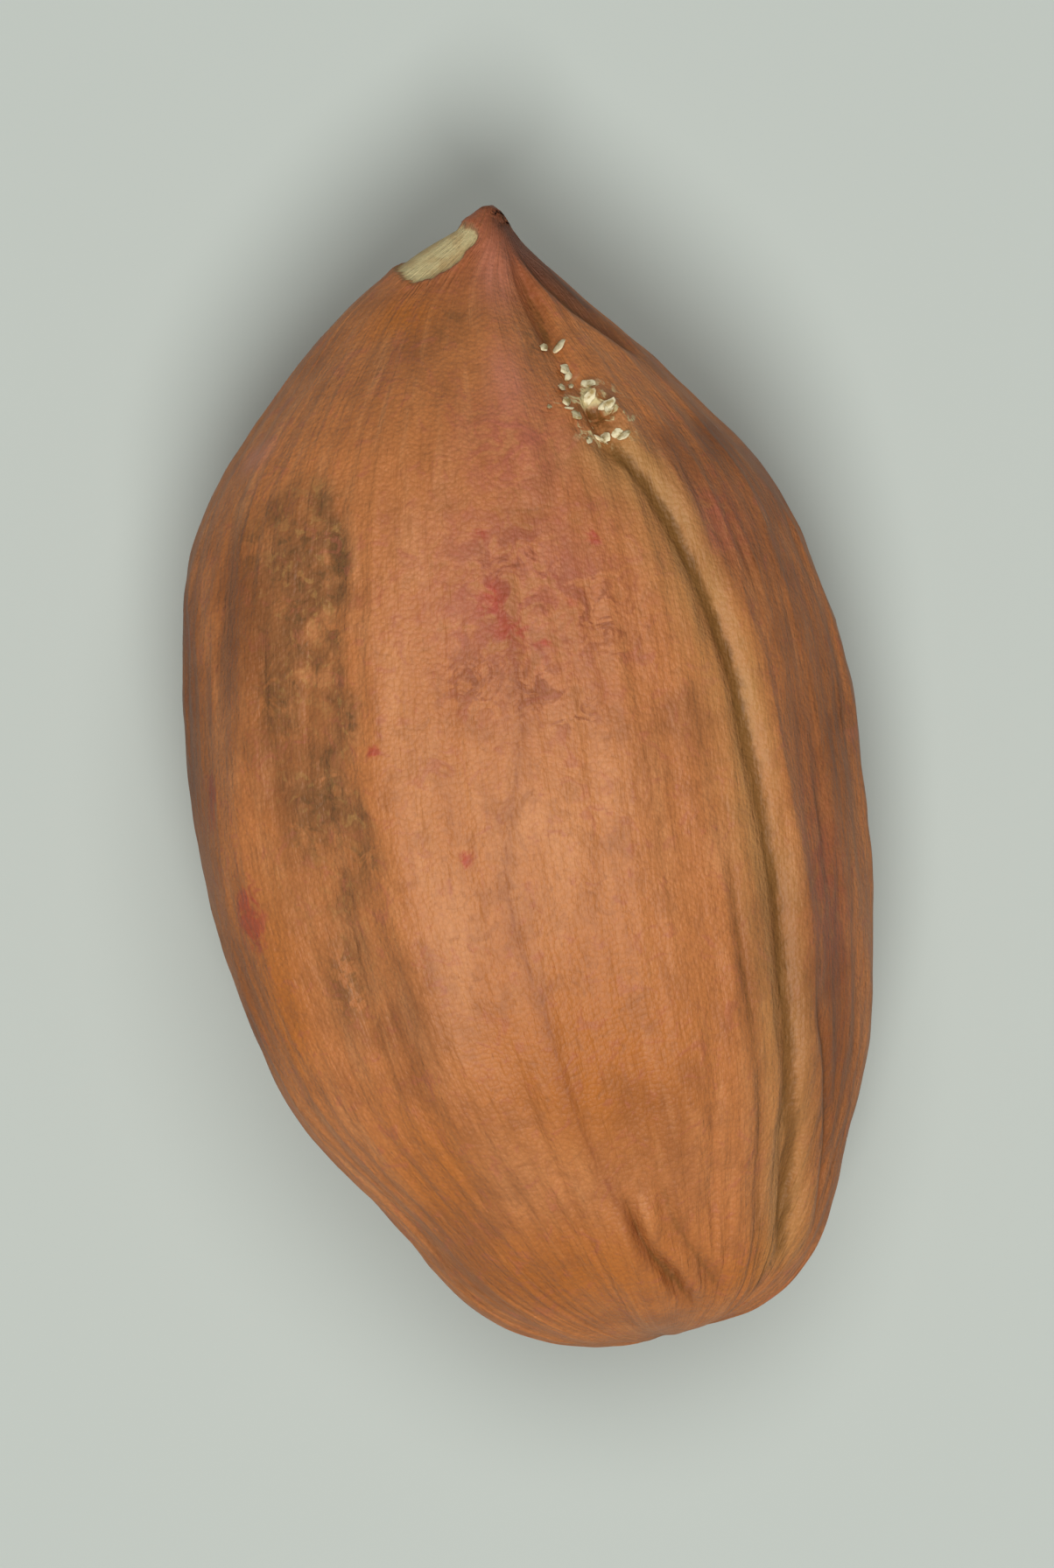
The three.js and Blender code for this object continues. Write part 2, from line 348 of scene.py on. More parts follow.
# Creases, two of each: beside the seam's lower half, at the blunt end, under the blush, down the beak
creases = {
    "fade": 0.6,
    "bankHeight": 0.35,             # of the depth, raised on both sides of a crease
    "darkest": 0.06,                # a crease this deep has its full painted shade
    "lines": [
        {"depth": 0.05, "halfWidth": 0.09, "route": [(3.4, -3.0), (3.42, -4.2), (3.25, -5.4), (2.95, -6.3)]},
        {"depth": 0.035, "halfWidth": 0.09,
         "route": [(2.45, -1.0), (2.48, -3.0), (2.45, -4.8), (2.35, -6.0), (2.1, -6.9)]},
        {"depth": 0.09, "halfWidth": 0.1, "route": [(0.62, -5.4), (0.8, -6.1), (1.1, -6.6), (1.45, -7.1)]},
        {"depth": 0.03, "halfWidth": 0.1, "route": [(1.1, -5.2), (1.25, -5.9), (1.6, -6.6), (1.8, -7.0)]},
        {"depth": 0.03, "halfWidth": 0.08, "route": [(-0.1, 3.5), (0.35, 3.43), (0.95, 3.52)]},
        {"depth": 0.025, "halfWidth": 0.08, "route": [(-0.05, 3.27), (0.4, 3.2), (0.8, 3.24)]},
        {"depth": 0.06, "halfWidth": 0.1, "route": [(0.47, 7.2), (0.62, 6.7), (0.82, 6.1), (1.05, 5.3)]},
        {"depth": 0.07, "halfWidth": 0.12,
         "route": [(0.52, 7.2), (0.78, 6.75), (1.12, 6.3), (1.55, 5.85), (2.2, 5.2)]},
    ],
}
creaseAway = np.full(len(places), np.inf)
creaseShade = np.zeros(len(places))
for line in creases["lines"]:
    away, side, run = nearRoute(places, routeOnTop(line["route"]))
    shown = shownAlong(run, creases["fade"], creases["fade"])
    bank = bump(away - 2 * line["halfWidth"], line["halfWidth"])
    raiseSkin("crease", bump(away, line["halfWidth"]) * shown, -line["depth"])
    raiseSkin("bank", bank * shown, creases["bankHeight"] * line["depth"])
    nearer = away < creaseAway
    creaseAway[nearer] = away[nearer]
    creaseShade[nearer] = shown[nearer] * min(1, line["depth"] / creases["darkest"])
print("seam and creases pressed in")

# Veins climb from the blunt end towards the beak, branch and fade
veins = {
    "count": 13,
    "uneven": 0.6,                  # how unevenly they are spaced
    "start": 0.5,                   # from the blunt end
    "end": (9.5, 12.5),
    "strength": (0.6, 1.0),
    "drift": 0.12,                  # radians round the kernel, either way
    "driftOver": 2.6,
    "waves": (0.5, 0.9),
    "sway": 0.06,
    "ripple": (0.3, 2.9),           # a smaller wave on each wave: its height and how many times as fast
    "branches": 2,
    "branchAt": (0.35, 0.5, 0.6),   # room before the first, the spread of each and room after the last
    "branchDrift": (0.16, 0.3),
    "branchLength": (3.5, 6.5),
    "branchStrength": 0.7,
    "fadeIn": 0.8,
    "fadeOut": 3.0,
    "faded": 0.3,                   # how much thinner a vein is where it has faded
    "clearOfSeam": 0.6,
    "height": 0.022,
    "halfWidth": 0.09,
    "seed": 12,
}


def veinLines():
    # each vein as (its bearing at a distance from the blunt end, start, end, strength)
    draw = random.Random(veins["seed"])
    rippleHeight, rippleSpeed = veins["ripple"]
    roomBefore, spread, roomAfter = veins["branchAt"]
    lines = []

    def grow(start, base, drift, end, strength, branches):
        phase = draw.uniform(0, 2 * math.pi)
        waves = draw.uniform(*veins["waves"])

        def bend(run):
            ripple = rippleHeight * np.sin(rippleSpeed * waves * run + 2 * phase)
            return np.sin(waves * run + phase) + ripple

        def path(run):
            drifted = drift * (1 - np.exp(-np.maximum(run - start, 0) / veins["driftOver"]))
            return base + drifted + veins["sway"] * (bend(run) - bend(start))

        lines.append((path, start, end, strength))
        for branch in range(branches):
            step = (end - start) / (branches + roomAfter)
            at = start + (branch + roomBefore + spread * draw.random()) * step
            side = draw.choice((-1, 1))
            grow(at, path(at), side * draw.uniform(*veins["branchDrift"]),
                 min(end, at + draw.uniform(*veins["branchLength"])),
                 strength * veins["branchStrength"], branches - 1)

    for i in range(veins["count"]):
        base = 2 * math.pi * (i + veins["uneven"] * draw.random()) / veins["count"]
        grow(veins["start"], base, draw.uniform(-veins["drift"], veins["drift"]),
             draw.uniform(*veins["end"]), draw.uniform(*veins["strength"]), veins["branches"])
    return lines


veinAway = np.full(len(places), np.inf)
veinShown = np.zeros(len(places))
for path, start, end, strength in veinLines():
    away = np.abs(turnBetween(path(fromBlunt), bearing)) * radius
    shown = rises(fromBlunt, start, start + veins["fadeIn"]) * (
        1 - rises(fromBlunt, end - veins["fadeOut"], end)) * strength
    away = away + veins["faded"] * (1 - shown)
    nearer = away < veinAway
    veinAway[nearer] = away[nearer]
    veinShown[nearer] = shown[nearer]
veinShown *= 1 - bump(seamAway, veins["clearOfSeam"])
raiseSkin("vein", bump(veinAway, veins["halfWidth"]) * veinShown, veins["height"])
print("veins raised")

# Papery wrinkles: shallow ripples along the kernel, sharper folds between them and a few soft lumps
wrinkles = {
    "ripples": [
        {"across": 1.1, "lengthwise": 6.0, "height": 0.05, "seed": 3, "sharp": False},
        {"across": 0.5, "lengthwise": 3.2, "height": 0.035, "seed": 8, "sharp": True},
        {"across": 0.26, "lengthwise": 1.7, "height": 0.018, "seed": 15, "sharp": True},
        {"across": 0.2, "lengthwise": 0.9, "height": 0.01, "seed": 19, "sharp": False},
    ],
    "sharpLevel": 0.55,             # a sharp ripple's crest, and how steeply it falls away
    "sharpSlope": 2.2,
    "calmPlace": (0.3, -0.8),       # the broad face on top has fewer of them
    "calmHalfSize": (1.7, 3.4),
    "calm": 0.45,
    "lumps": [
        {"size": 1.5, "height": 0.04, "seed": 5},
        {"size": 0.42, "height": 0.012, "seed": 6},
    ],
}
calmFace = wrinkles["calm"] * bump(fromAbove(wrinkles["calmPlace"], wrinkles["calmHalfSize"]), 1.0)
rippled = openSkin * (1 - calmFace * (1 - under)) * (1 - onRest)
for ripple in wrinkles["ripples"]:
    wave = streaks(ripple["across"], ripple["lengthwise"], ripple["seed"])
    if ripple["sharp"]:
        wave = wrinkles["sharpLevel"] - wrinkles["sharpSlope"] * np.abs(wave)
    raiseSkin("ripple", wave * rippled, ripple["height"])
for lump in wrinkles["lumps"]:
    raiseSkin("lump", noiseAt(places / lump["size"], lump["seed"]) * (1 - onRest), lump["height"])
print("wrinkles raised")

# The scar, where the kernel hung in its pod: a small pit with a torn, dry rim
scar = {
    "place": (1.42, 4.62),
    "pitDepth": 0.12,
    "pitRadius": 0.13,
    "rimHeight": 0.05,
    "rimRadius": 0.33,
    "rimWidth": 0.14,
    "rimEven": 0.5,                 # the rim's even share, beside its torn bits
    "torn": (1.0, 0.16, 31),        # how much, size and seed
}
scarAway = np.linalg.norm(places - dropOn(formCopy, *scar["place"]), axis=1)
raiseSkin("scarPit", bump(scarAway, scar["pitRadius"]), -scar["pitDepth"])
scarRim = bump(scarAway - scar["rimRadius"], scar["rimWidth"]) * (scar["rimEven"] + fray([scar["torn"]]))
raiseSkin("scarRim", scarRim, scar["rimHeight"])

# Beside the beak's tip a chip of skin is gone, and the cream kernel shows
chip = {
    "place": (-0.36, 6.9),
    "halfSize": (0.6, 0.32, 1.1),
    "turn": 22,                     # degrees that its long side rises towards the tip
    "raised": 0.12,                 # across its long side
    "torn": [(0.2, 0.4, 44), (0.12, 0.12, 45)],
    "edge": (0.9, 1.0),             # in half sizes, as the rim's place and width are
    "depth": 0.045,
    "rimAway": 1.12,
    "rimWidth": 0.14,
    "rimHeight": 0.02,
}
turn = math.radians(chip["turn"])
chipX, chipY, chipZ = (places - dropOn(formCopy, *chip["place"])).T
chipOff = np.stack([chipX * math.cos(turn) + chipY * math.sin(turn),
                    chipY * math.cos(turn) - chipX * math.sin(turn) - chip["raised"], chipZ], axis=1)
chipAway = np.linalg.norm(chipOff / chip["halfSize"], axis=1) + fray(chip["torn"])
bare = 1 - rises(chipAway, *chip["edge"])
raiseSkin("chip", bare, -chip["depth"])
raiseSkin("chipEdge", bump(chipAway - chip["rimAway"], chip["rimWidth"]), chip["rimHeight"])

# The blunt end puckers into folds round a small spot
pucker = {
    "folds": 9,
    "height": 0.03,
    "reach": (0.3, 1.6),            # from the axis
    "along": (4.0, 2.0),            # from the blunt end
    "spot": (0.05, 0.4),
    "uneven": 2.2,
    "twist": 1.4,
}
nearBlunt = (1 - rises(radius, *pucker["reach"])) * rises(fromBlunt, *pucker["along"])
foldTurn = pucker["folds"] * bearing + pucker["uneven"] * np.sin(2 * bearing) + pucker["twist"] * radius
raiseSkin("pucker", nearBlunt * np.cos(foldTurn) * rises(radius, *pucker["spot"]), pucker["height"])
print("scar, chip and pucker made")


def flattenUnderside():
    # what the relief pushed below the floor goes back up to it
    nearlyFlat = 1e-4
    selectPoints(kernelSkin, placesOf(kernelSkin)[:, 2] < 0)
    bpy.ops.transform.resize(value=(1, 1, nearlyFlat), center_override=(0, 0, 0))
    bpy.ops.object.mode_set(mode="OBJECT")


flattenUnderside()
bpy.ops.object.shade_smooth()


# Colours that follow the forms are painted on the skin's points and read by its material

def patch(x, y, across, lengthwise):
    # a soft oval on top of the kernel, at a place seen from above
    centre = dropOn(formCopy, x, y)
    scaled = (places - centre) / (across, lengthwise, (across + lengthwise) / 2)
    return bump(np.linalg.norm(scaled, axis=1), 1.0)


# Ovals of each tint: the middle seen from above, then half the width and half the length
patches = {
    "rosy": [(0.15, 2.4, 1.2, 1.4), (0.35, 4.3, 0.7, 0.9), (2.9, 3.1, 0.4, 0.5), (3.7, -2.0, 0.25, 1.6)],
    # paler skin, and a painted highlight on the ridge right of the hollow and the middle of the top
    "pale": [(-1.5, 1.2, 0.3, 2.4), (-1.3, -2.0, 0.4, 1.8), (0.3, -0.4, 1.4, 1.4), (-0.6, -5.0, 0.9, 0.8),
             (-1.0, 3.1, 0.5, 0.7), (-3.8, 1.7, 0.16, 1.2)],
    "ochre": [(-0.2, -6.4, 2.1, 0.8), (-1.7, -5.0, 0.7, 1.4), (-3.4, -2.6, 0.3, 1.6), (2.2, -6.6, 0.9, 0.5),
              (-0.9, 6.2, 0.5, 0.4), (0.5, -3.8, 1.4, 1.3)],
    "redMarks": [(-0.15, 2.38, 0.24, 0.28), (0.05, 1.95, 0.26, 0.2), (0.45, 1.72, 0.2, 0.1),
                 (-0.25, 3.2, 0.12, 0.1), (0.62, 2.5, 0.12, 0.1), (1.2, 3.0, 0.12, 0.1),
                 (-1.9, 0.6, 0.1, 0.12), (-0.9, -0.9, 0.12, 0.14), (-4.1, 0.2, 0.14, 0.4),
                 (-3.72, -1.4, 0.22, 0.5)],
    "netted": [(0.2, 2.75, 0.5, 0.4), (-0.5, 1.35, 0.4, 0.4), (0.25, 1.15, 0.5, 0.35), (0.7, 0.8, 0.35, 0.3),
               (1.2, 2.0, 0.5, 0.6)],
    "reddened": [(0.34, 6.6, 0.2, 0.9), (0.36, 5.2, 0.24, 0.9), (-3.0, 4.6, 0.4, 0.2)],
    "bruised": [(-2.15, 3.88, 0.35, 0.2), (-2.8, 3.75, 0.25, 0.22), (-2.05, 3.1, 0.2, 0.7),
                (-2.25, 2.1, 0.2, 0.25), (-2.5, 0.15, 0.3, 0.32), (-2.2, -0.75, 0.32, 0.3),
                (-3.2, 3.4, 0.25, 0.5), (-3.15, 1.4, 0.25, 0.7), (-2.9, -0.4, 0.3, 0.3),
                (-2.6, -2.3, 0.25, 0.6), (-0.3, 6.0, 0.2, 0.3), (0.72, 5.6, 0.14, 0.7)],
    # painted shade on the long sides and at the upper right, darker than the top
    "paintedShade": [(-4.25, 0.8, 0.36, 2.8), (-3.9, -2.4, 0.35, 1.6), (4.0, 0.4, 0.45, 3.0), (3.6, -4.0, 0.6, 2.0),
               (-3.5, 2.6, 0.4, 1.5), (2.9, 4.2, 0.3, 0.9)],
}

# The side that the picture doesn't show has clouds of the same tints
hidden = {
    "seeds": {"rosy": 51, "hollow": 52, "pale": 53, "ochre": 54, "reddened": 55, "redMarks": 56,
              "netted": 57, "bruised": 58, "paintedShade": 59},
    "clouds": {"size": (1.6, 3.8), "edge": (0.05, 0.5)},
    "marks": {"size": (0.4, 0.6), "edge": (0.45, 0.6)},
    "strength": 0.8,
}


def withHidden(name, mask):
    kind = hidden["marks"] if name == "redMarks" else hidden["clouds"]
    clouds = rises(streaks(*kind["size"], hidden["seeds"][name]), *kind["edge"])
    return np.maximum(mask, hidden["strength"] * under * openSkin * clouds)


# The long hollow on the left is bruised brown: sharp along its right edge, soft on its left
hollow = {
    "route": [(-2.5, 4.4), (-2.62, 3.2), (-2.65, 1.9), (-2.65, 0.4), (-2.5, -1.2), (-2.2, -2.8),
              (-1.9, -3.8)],
    "rightEdge": (0.82, 0.6),
    "leftEdge": (-1.3, -0.05),
    "frayedSides": [(0.25, 0.7, 71), (0.12, 0.22, 73)],
    "frayedEnds": [(0.3, 0.4, 74)],
    "top": (0.15, 0.55),
    "fading": (4.4, 7.4),
    "fadesBy": 0.75,
    "bottom": 1.2,
    "gaps": (1.0, 0.7, 72),
    "gapEdge": (-0.3, 0.25),
    "inGaps": 0.45,
}
hollowAway, hollowSide, hollowRun = nearRoute(places, routeOnTop(hollow["route"]))
hollowLength = hollowRun.max()
across = hollowSide * hollowAway + fray(hollow["frayedSides"])
down = hollowRun + fray(hollow["frayedEnds"])
inHollow = rises(across, *hollow["rightEdge"]) * rises(across, *hollow["leftEdge"])
inHollow *= rises(down, *hollow["top"]) * (1 - hollow["fadesBy"] * rises(down, *hollow["fading"]))
inHollow *= 1 - rises(down, hollowLength - hollow["bottom"], hollowLength)
inHollow *= hollow["inGaps"] + (1 - hollow["inGaps"]) * rises(fray([hollow["gaps"]]), *hollow["gapEdge"])

# Painted shade: a dark band along the beak's right outline, from the tip down
tipShade = {
    "route": [(0.5, 7.25), (0.66, 7.0), (0.98, 6.6), (1.3, 6.25), (1.68, 5.8), (2.3, 5.1)],
    "halfWidth": 0.2,
    "strength": 0.8,
    "fading": (1.2, 2.8),
    "fadesBy": 0.7,
}
tipAway, tipSide, tipRun = nearRoute(places, routeOnTop(tipShade["route"]))
shadedTip = tipShade["strength"] * bump(tipAway, tipShade["halfWidth"])
shadedTip *= 1 - tipShade["fadesBy"] * rises(tipRun, *tipShade["fading"])

# Every mask and distance by the name of its attribute, with the distances up to paintReach
paintReach = 3
paints = {name: withHidden(name, np.max([patch(*oval) for oval in ovals], axis=0))
          for name, ovals in patches.items()}
paints |= {
    "hollow": withHidden("hollow", inHollow),
    "seamSide": np.clip(seamAway * seamSide, -paintReach, paintReach),
    "seamShown": seamShown,
    "lowerSeam": rises(seamRun, *seam["lower"]),
    "creaseAway": np.minimum(creaseAway, paintReach),
    "creaseShade": creaseShade,
    "veinAway": np.minimum(veinAway, paintReach),
    "veinShown": veinShown,
    "scarAway": np.minimum(scarAway, paintReach),
    "bare": bare,
    "tipShade": shadedTip,
    "fromTip": np.linalg.norm(places - places[np.argmin(along)], axis=1),
    "openSkin": openSkin,
}
for name, values in paints.items():
    layer = kernelSkin.data.attributes.new(name, "FLOAT", "POINT")
    layer.data.foreach_set("value", values)
flowLayer = kernelSkin.data.attributes.new("flow", "FLOAT_VECTOR", "POINT")
flowLayer.data.foreach_set("vector", flow.astype(np.float32).ravel())
print("colours painted")


# Testa, the seed coat: a paper-thin dry layer that grew tight on the kernel. It gives the eye a
# salmon tan with rosier and browner clouds, dark fibres and flecks along it, and a dull satin light.
seedCoat = {
    "tones": {
        "tan": "#BE7742", "brown": "#9A5E34", "salmon": "#CF8C58", "rosy": "#AE6049", "ochre": "#B4671F",
        "hollow": "#7C5432", "speck": "#5E4728", "khaki": "#B2854C", "red": "#A24A34", "pink": "#CA7E62",
        "redSpot": "#AE3E30", "fibre": "#7E4A28", "vein": "#874A26", "furrow": "#694516", "edge": "#76421E",
        "tipShadeTone": "#4A2E20", "cream": "#D2C08C",
    },
    # mottling in all directions: size, detail, roughness and distortion
    "mottles": {
        "clouds": (2.4, 4.0, 0.6, 0.0),
        "blotches": (0.5, 3.0, 0.6, 0.4),
        "squiggles": (0.32, 3.0, 0.6, 1.2),
        "specks": (0.16, 2.0, 0.5, 0.6),
    },
    # streaks along the kernel: width, length and detail
    "streaks": {
        "streaky": (0.42, 1.5, 4.0),
        "fibres": (0.13, 1.1, 3.0),
        "flecks": (0.1, 0.24, 3.0),
    },
    "streakRoughness": 0.6,
    "cells": {"grain": 0.06, "spotCells": 0.7},
    "spotFray": 0.12,
    # painted distances with a ragged edge: the paint, the pattern and how far it moves the edge
    "frayed": {
        "side": ("seamSide", "flecks", 0.03),
        "crease": ("creaseAway", "flecks", 0.02),
        "vein": ("veinAway", "flecks", 0.02),
        "redMark": ("redMarks", "squiggles", 0.3),
    },
    "frayEdge": (0.3, 0.7),
    # the khaki bands on the seam's left and right
    "leftBand": [("side", -1.0, -0.1), ("side", 0.05, -0.05, 0.0, 0.6)],
    "rightBand": [("side", -0.05, 0.05), ("side", 0.62, 0.12), ("lowerSeam", 0.0, 1.0, 0.75, 0.55)],
    # Layers from the ground up, each a tone and the masks that it is laid on by. A mask is a paint or
    # pattern alone, or one that rises from 0 to 1 between two levels, or from a share to another.
    "ground": "brown",
    "layers": [
        # brown and tan clouds with salmon streaks
        ("tan", ("clouds", 0.34, 0.54)),
        ("salmon", ("streaky", 0.48, 0.72, 0.0, 0.6)),
        ("brown", ("streaky", 0.42, 0.26, 0.0, 0.5)),
        # salmon where it is pale: paler skin, and partly a painted highlight on the ridge and the middle of
        # the top
        ("salmon", "pale", ("streaky", 0.3, 0.6, 0.25, 0.62)),
        ("ochre", "ochre", ("streaky", 0.3, 0.65, 0.5, 0.85)),
        # the blush, mottled, broken up by small squiggles and with a few red spots
        ("pink", "rosy", ("blotches", 0.42, 0.6, 0.1, 0.45)),
        ("vein", "rosy", ("blotches", 0.5, 0.34, 0.0, 0.4)),
        ("rosy", "rosy", ("squiggles", 0.4, 0.58, 0.3, 0.85)),
        ("salmon", "rosy", ("squiggles", 0.46, 0.34, 0.0, 0.5)),
        ("redSpot", ("rosy", 0.45, 0.8), ("spots", 0.24, 0.13, 0.0, 0.6)),
        ("redSpot", ("redMark", 0.3, 0.95, 0.0, 0.75)),
        ("vein", "netted", ("squiggles", 0.46, 0.58, 0.0, 0.75)),
        # the hollow on the left: brown, mottled and dark-specked, and the bruises round it
        ("hollow", "hollow", ("blotches", 0.3, 0.6, 0.4, 0.85)),
        ("speck", ("hollow", 0.35, 0.9), ("blotches", 0.5, 0.66), ("specks", 0.42, 0.64, 0.05, 0.55)),
        ("speck", ("hollow", 0.35, 0.9), ("specks", 0.58, 0.66, 0.0, 0.45)),
        ("khaki", "hollow", ("specks", 0.45, 0.33, 0.0, 0.6)),
        ("salmon", "hollow", ("blotches", 0.44, 0.3, 0.0, 0.5)),
        ("speck", "bruised", ("squiggles", 0.38, 0.58, 0.05, 0.7)),
        # fibres, flecks and grain all over
        ("fibre", "openSkin", ("fibres", 0.54, 0.74, 0.0, 0.22)),
        ("salmon", "openSkin", ("fibres", 0.44, 0.28, 0.0, 0.22)),
        ("fibre", "openSkin", ("flecks", 0.62, 0.74, 0.0, 0.3)),
        ("rosy", ("squiggles", 0.54, 0.7, 0.0, 0.4)),
        ("brown", ("squiggles", 0.44, 0.3, 0.0, 0.35)),
        ("brown", ("blotches", 0.5, 0.7, 0.0, 0.4)),
        ("edge", ("grain", 0.3, 0.75, 0.0, 0.12)),
        # the seam: a brown line between its bands, with a browner strip on its right
        ("khaki", "bands", "seamShown", ("streaky", 0.3, 0.6, 0.6, 1.0)),
        ("edge", ("side", 0.3, 0.9), ("side", 1.6, 1.0, 0.0, 0.3), "seamShown"),
        ("furrow", ("sideAway", 0.17, 0.034), "seamShown", ("lowerSeam", 0.0, 1.0, 0.8, 0.7)),
        # painted shade in the creases, darker the deeper the crease
        ("edge", ("crease", 0.22, 0.03, 0.0, 0.5), "creaseShade"),
        ("furrow", ("crease", 0.055, 0.01, 0.0, 0.6), "creaseShade"),
        # painted shade: the edge tone darkens the long sides and the upper right
        ("edge", "paintedShade", ("clouds", 0.3, 0.6, 0.85, 0.6)),
        # veins, a shade darker than the skin
        ("vein", ("vein", 0.2, 0.02, 0.0, 0.3), "veinShown"),
        ("vein", ("vein", 0.05, 0.01, 0.0, 0.4), "veinShown"),
        # the beak reddens towards its tip
        ("red", ("fromTip", 2.2, 0.1), ("streaky", 0.3, 0.6, 0.3, 0.6)),
        ("pink", "reddened", ("streaky", 0.3, 0.6, 0.5, 0.9)),
        # painted shade along the beak's right outline
        ("tipShadeTone", "tipShade"),
        # the scar, brown with cream bits, and the bare chip with a brown edge
        ("furrow", ("scarAway", 0.5, 0.05), ("specks", 0.4, 0.6, 0.3, 0.9)),
        ("cream", ("scarAway", 0.75, 0.35), ("scarAway", 0.08, 0.18), ("squiggles", 0.54, 0.62)),
        ("cream", "bare"),
        ("khaki", "bare", ("blotches", 0.42, 0.62, 0.0, 0.5)),
        ("edge", ("bare", 0.02, 0.35), ("bare", 0.9, 0.5, 0.0, 0.5)),
    ],
    "relief": {"fibres": 0.55, "flecks": 0.35, "squiggles": 0.3, "grain": -0.22},
    "reliefHeight": 0.045,
    "roughness": 0.55,
    "ior": 1.45,
    "specular": 0.4,
    "glow": 0.05,                   # light that soaks in and comes out again near by
    "glowReach": (0.4, 0.2, 0.1),
}


def paperySeedCoat():
    material = bpy.data.materials.new("paperySeedCoat")
    material.use_nodes = True
    tree = material.node_tree
    tree.nodes.clear()
    place = addNode(tree, "ShaderNodeTexCoord").outputs["Object"]
    flowing = addNode(tree, "ShaderNodeAttribute", attribute_name="flow").outputs["Vector"]

    # the paints and patterns, by name
    sources = {}
    for name in paints:
        sources[name] = addNode(tree, "ShaderNodeAttribute", attribute_name=name).outputs["Fac"]
    for name, (size, detail, roughness, distortion) in seedCoat["mottles"].items():
        sources[name] = addNode(tree, "ShaderNodeTexNoise", {
            "Vector": place, "Scale": 1 / mm / size, "Detail": detail, "Roughness": roughness,
            "Distortion": distortion}).outputs["Fac"]
    for name, (width, length, detail) in seedCoat["streaks"].items():
        stretched = addNode(tree, "ShaderNodeMapping", {
            "Vector": flowing, "Scale": (1 / width, 1 / width, 1 / length)})
        sources[name] = addNode(tree, "ShaderNodeTexNoise", {
            "Vector": stretched.outputs["Vector"], "Scale": 1.0, "Detail": detail,
            "Roughness": seedCoat["streakRoughness"]}).outputs["Fac"]
    for name, size in seedCoat["cells"].items():
        sources[name] = addNode(tree, "ShaderNodeTexVoronoi", {
            "Vector": place, "Scale": 1 / mm / size}, feature="F1").outputs["Distance"]

    def shareOf(masks):
        # the masks multiplied, each alone or between its levels
        share = 1.0
        for mask in masks:
            name, *levels = (mask,) if isinstance(mask, str) else mask
            value = sources[name]
            if levels:
                low, high, bottom, top = (*levels, 0.0, 1.0)[:4]
                value = addNode(tree, "ShaderNodeMapRange", {
                    "Value": value, "From Min": low, "From Max": high, "To Min": bottom, "To Max": top},
                    interpolation_type="SMOOTHSTEP").outputs["Result"]
            share = addNode(tree, "ShaderNodeMath", {0: share, 1: value}, operation="MULTIPLY").outputs[0]
        return share

    sources["spots"] = addNode(tree, "ShaderNodeMath", {
        0: sources["squiggles"], 1: seedCoat["spotFray"], 2: sources["spotCells"]},
        operation="MULTIPLY_ADD").outputs[0]
    for name, (paint, pattern, most) in seedCoat["frayed"].items():
        moved = shareOf([(pattern, *seedCoat["frayEdge"], -most, most)])
        sources[name] = addNode(tree, "ShaderNodeMath", {0: sources[paint], 1: moved},
                                operation="ADD").outputs[0]
    sources["sideAway"] = addNode(tree, "ShaderNodeMath", {0: sources["side"]},
                                  operation="ABSOLUTE").outputs[0]
    sources["bands"] = addNode(tree, "ShaderNodeMath", {
        0: shareOf(seedCoat["leftBand"]), 1: shareOf(seedCoat["rightBand"])}, operation="ADD").outputs[0]

    tone = colour(seedCoat["tones"][seedCoat["ground"]])
    for laid, *masks in seedCoat["layers"]:
        tone = addNode(tree, "ShaderNodeMix", {
            0: shareOf(masks), 6: tone, 7: colour(seedCoat["tones"][laid])}, data_type="RGBA").outputs[2]

    height = 0.0
    for name, part in seedCoat["relief"].items():
        height = addNode(tree, "ShaderNodeMath", {0: sources[name], 1: part, 2: height},
                         operation="MULTIPLY_ADD").outputs[0]
    relief = addNode(tree, "ShaderNodeBump", {
        "Height": height, "Distance": seedCoat["reliefHeight"] * mm})

    shader = addNode(tree, "ShaderNodeBsdfPrincipled", {
        "Base Color": tone, "Roughness": seedCoat["roughness"], "IOR": seedCoat["ior"],
        "Specular IOR Level": seedCoat["specular"], "Normal": relief.outputs["Normal"],
        "Subsurface Weight": seedCoat["glow"], "Subsurface Radius": seedCoat["glowReach"],
        "Subsurface Scale": mm})
    addNode(tree, "ShaderNodeOutputMaterial", {"Surface": shader.outputs["BSDF"]})
    return material


kernelSkin.data.materials.append(paperySeedCoat())
kernelSkin.data.uv_layers[0].name = "OFBake"
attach(kernelSkin, "root")
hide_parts("kernel")
print("skin finished")


# Shreds of the dry stalk that held the kernel in its pod, round the scar and up towards the beak
shreds = {
    "kinds": 5,
    "ragged": 0.2,
    "width": (0.45, 0.95),          # of the length, as the thickness is
    "thickness": 0.22,
    "clumps": [(0.98, 4.72), (1.16, 4.58), (1.12, 4.94), (1.05, 5.18), (1.28, 4.3), (1.4, 4.88),
               (1.58, 4.62), (1.66, 4.34), (1.46, 4.24), (1.0, 5.48)],
    "inClump": 2,
    "scatter": 0.07,
    "size": (0.12, 0.27),
    "raised": 0.15,
    "tilt": 0.3,
    "sharpEdge": 40,                # degrees above which an edge isn't smoothed
    "seed": 9,
    "cream": "#E6DBB4",
    "straw": "#A88F5C",
    "patchSize": 0.09,
    "patchEdge": (0.35, 0.56),
    "roughness": 0.85,
    "specular": 0.2,
}


